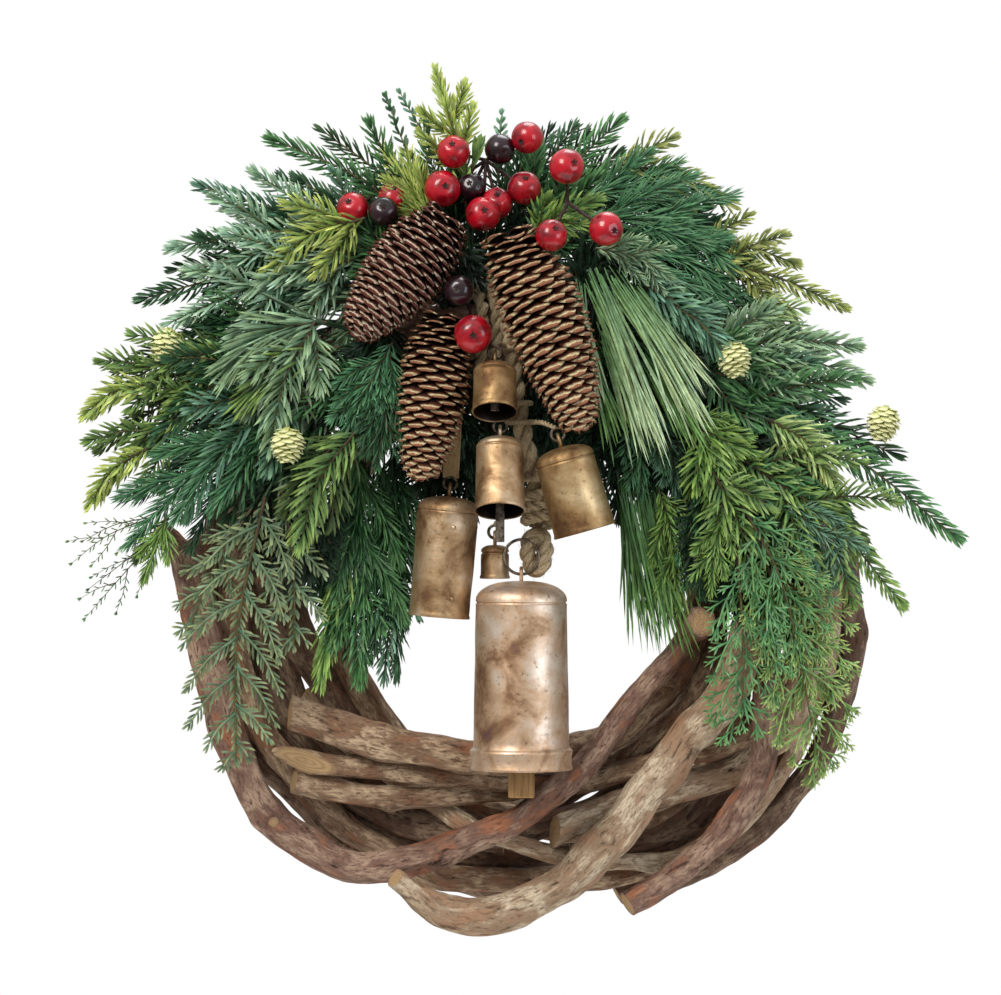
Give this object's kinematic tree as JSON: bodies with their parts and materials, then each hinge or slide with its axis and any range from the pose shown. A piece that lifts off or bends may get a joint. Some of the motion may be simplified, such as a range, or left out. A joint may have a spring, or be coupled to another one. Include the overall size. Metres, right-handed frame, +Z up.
{
  "type": "rattan wreath",
  "caption": "Door wreath on a ring of woven rattan vines, dressed with evergreen boughs, spruce cones, berries, hop buds and a cluster of aged brass bells on a jute rope.",
  "frame": {"origin": "the seat of the door hook: the underside of the rearmost middle vine at the top of the ring", "axes": "+X to the viewer's right, +Y back towards the door, +Z up"},
  "size_m": [0.4433, 0.1263, 0.434],
  "materials": {
    "vine_bark": "dry peeling bark, matt",
    "evergreen": "moulded needles, satin",
    "cone_scales": "dry woody scales, matt",
    "berry_lacquer": "glossy lacquer",
    "hop_bud": "papery, matt",
    "aged_brass": "mottled patina over beaten metal",
    "clapper_wood": "rough sawn",
    "jute": "twisted fibre",
    "iron_wire": "dull drawn wire"
  },
  "bodies": {
    "root": {"vine_back_outer": "vine_bark", "vine_low_right": "vine_bark", "vine_back_inner": "vine_bark", "vine_back_middle": "vine_bark", "vine_lower_hoop": "vine_bark", "vine_thin_cross": "vine_bark", "vine_pair_lower": "vine_bark", "vine_cut_right": "vine_bark", "vine_pair_upper": "vine_bark", "vine_butt_left": "vine_bark", "vine_red_right": "vine_bark", "vine_fork_left": "vine_bark", "vine_pale_front": "vine_bark", "rope_wrap": "jute", "bell_rope": "jute", "rope_knot": "jute", "wire_ring": "iron_wire", "cane_strip": "vine_bark", "hanger_right": "jute", "hanger_middle": "jute", "hanger_upper": "jute", "hanger_back": "jute", "spruce_upper_left": "evergreen", "spruce_upper_right": "evergreen", "yellow_fir_top": "evergreen", "teal_spruce_left": "evergreen", "emerald_spray_right": "evergreen", "yellow_spray_left": "evergreen", "fir_far_right": "evergreen", "dark_fir_left": "evergreen", "green_fir_right": "evergreen", "thuja_frond_left": "evergreen", "cedar_spray_right": "evergreen", "hanging_fir_left": "evergreen", "pine_tuft_right": "evergreen", "grey_spruce_left": "evergreen", "white_pine_right": "evergreen", "cone_low": "cone_scales", "cone_right": "cone_scales", "cone_left": "cone_scales", "bud_far_left": "hop_bud", "bud_left": "hop_bud", "bud_right": "hop_bud", "bud_far_right": "hop_bud", "pick_left": "berry_lacquer", "pick_middle": "berry_lacquer", "pick_right": "berry_lacquer", "pick_low": "berry_lacquer"},
    "bell_big": {"bell_big": "aged_brass"},
    "clapper_big": {"clapper_big": "clapper_wood"},
    "bell_left": {"bell_left": "aged_brass"},
    "clapper_left": {"clapper_left": "clapper_wood"},
    "bell_right": {"bell_right": "aged_brass"},
    "clapper_right": {"clapper_right": "clapper_wood"},
    "bell_middle": {"bell_middle": "aged_brass"},
    "clapper_middle": {"clapper_middle": "iron_wire"},
    "bell_upper": {"bell_upper": "aged_brass"},
    "clapper_upper": {"clapper_upper": "iron_wire"},
    "bell_back": {"bell_back": "aged_brass"},
    "clapper_back": {"clapper_back": "iron_wire"}
  },
  "joints": [
    {"name": "swing_big", "type": "hinge", "parent": "root", "child": "bell_big", "pos_m": [-0.0025, -0.0715, -0.1201], "axis": [-1, 0, 0], "range_deg": [0, 40]},
    {"name": "rattle_big", "type": "hinge", "parent": "bell_big", "child": "clapper_big", "pos_m": [-0.0025, -0.0715, -0.125], "axis": [-1, 0, 0], "range_deg": [-12, 12]},
    {"name": "swing_left", "type": "hinge", "parent": "root", "child": "bell_left", "pos_m": [-0.0378, -0.065, -0.0785], "axis": [-0.9965, 0, 0.0837], "range_deg": [0, 40]},
    {"name": "rattle_left", "type": "hinge", "parent": "bell_left", "child": "clapper_left", "pos_m": [-0.03821, -0.065, -0.08338], "axis": [-0.9965, 0, 0.0837], "range_deg": [-10, 10]},
    {"name": "swing_right", "type": "hinge", "parent": "root", "child": "bell_right", "pos_m": [0.016, -0.0885, -0.0545], "axis": [-0.9622, 0, -0.2723], "range_deg": [0, 40]},
    {"name": "rattle_right", "type": "hinge", "parent": "bell_right", "child": "clapper_right", "pos_m": [0.01733, -0.0885, -0.05922], "axis": [-0.9622, 0, -0.2723], "range_deg": [-15, 15]},
    {"name": "swing_middle", "type": "hinge", "parent": "root", "child": "bell_middle", "pos_m": [-0.013, -0.083, -0.0505], "axis": [-1, 0, 0], "range_deg": [0, 40]},
    {"name": "rattle_middle", "type": "hinge", "parent": "bell_middle", "child": "clapper_middle", "pos_m": [-0.013, -0.08468, -0.0551], "axis": [-1, 0, 0], "range_deg": [0, 26]},
    {"name": "swing_upper", "type": "hinge", "parent": "root", "child": "bell_upper", "pos_m": [-0.0155, -0.085, -0.0145], "axis": [-1, 0, 0], "range_deg": [0, 20]},
    {"name": "rattle_upper", "type": "hinge", "parent": "bell_upper", "child": "clapper_upper", "pos_m": [-0.0155, -0.08707, -0.01894], "axis": [-1, 0, 0], "range_deg": [0, 40]},
    {"name": "swing_back", "type": "hinge", "parent": "root", "child": "bell_back", "pos_m": [-0.0155, -0.055, -0.1025], "axis": [-1, 0, 0], "range_deg": [0, 20]},
    {"name": "rattle_back", "type": "hinge", "parent": "bell_back", "child": "clapper_back", "pos_m": [-0.0155, -0.055, -0.1074], "axis": [-1, 0, 0], "range_deg": [-18, 18]}
  ]
}
